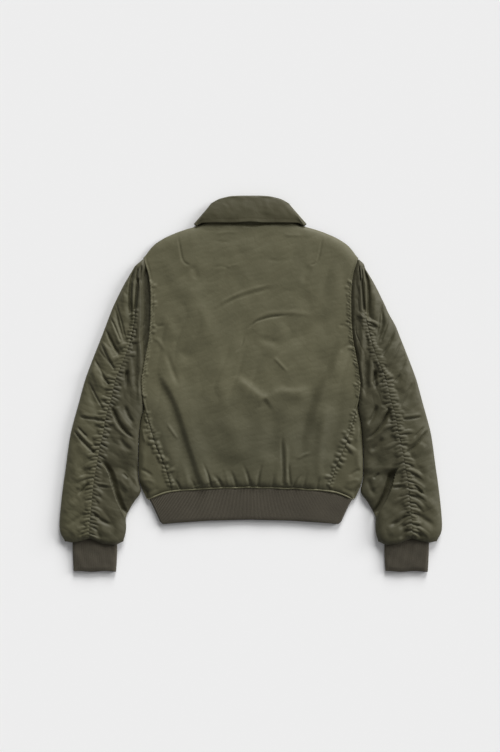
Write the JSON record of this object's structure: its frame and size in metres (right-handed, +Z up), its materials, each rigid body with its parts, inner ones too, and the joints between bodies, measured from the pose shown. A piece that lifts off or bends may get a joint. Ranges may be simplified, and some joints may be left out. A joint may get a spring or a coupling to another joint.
{
  "type": "bomber jacket",
  "caption": "Padded olive nylon bomber jacket laid flat on its front, back upward, with a fold-down collar, gathered sleeve and side seams, ribbed cuffs and a ribbed waistband.",
  "frame": {"origin": "bottom centre of the box round the laid-out jacket, on the surface that it lies on", "axes": "+Z up out of the surface towards the jacket's back, +Y from the hem to the collar, +X across the shoulders towards the wearer's right sleeve"},
  "size_m": [0.762, 0.7527, 0.0168],
  "materials": {
    "nylon_back": "olive nylon satin, padded",
    "nylon_front_left": "olive nylon satin, padded",
    "nylon_front_right": "olive nylon satin, padded",
    "nylon_sleeve_outer_left": "olive nylon satin, padded and gathered",
    "nylon_sleeve_outer_right": "olive nylon satin, padded and gathered",
    "nylon_sleeve_inner_left": "olive nylon satin, padded and gathered",
    "nylon_sleeve_inner_right": "olive nylon satin, padded and gathered",
    "rib_cuff_left": "dark olive rib knit",
    "rib_cuff_right": "dark olive rib knit",
    "rib_waistband": "dark olive rib knit",
    "nylon_collar": "dark olive nylon, topstitched",
    "zip_tape": "woven tape with closed chain",
    "zip_slider_metal": "antique finish",
    "zip_tab_metal": "antique finish"
  },
  "bodies": {
    "jacket": {"back_panel": "nylon_back", "front_left": "nylon_front_left", "front_right": "nylon_front_right", "sleeve_outer_left": "nylon_sleeve_outer_left", "sleeve_outer_right": "nylon_sleeve_outer_right", "sleeve_inner_left": "nylon_sleeve_inner_left", "sleeve_inner_right": "nylon_sleeve_inner_right", "cuff_left": "rib_cuff_left", "cuff_right": "rib_cuff_right", "waistband": "rib_waistband", "collar": "nylon_collar", "front_zip": "zip_tape", "zip_slider": "zip_slider_metal"},
    "pull_tab": {"zip_pull_tab": "zip_tab_metal"}
  },
  "joints": [
    {"name": "pull_tab_swing", "type": "hinge", "parent": "jacket", "child": "pull_tab", "pos_m": [0, 0.2385, 0.00095], "axis": [1, 0, 0], "range_deg": [0, 170]}
  ]
}
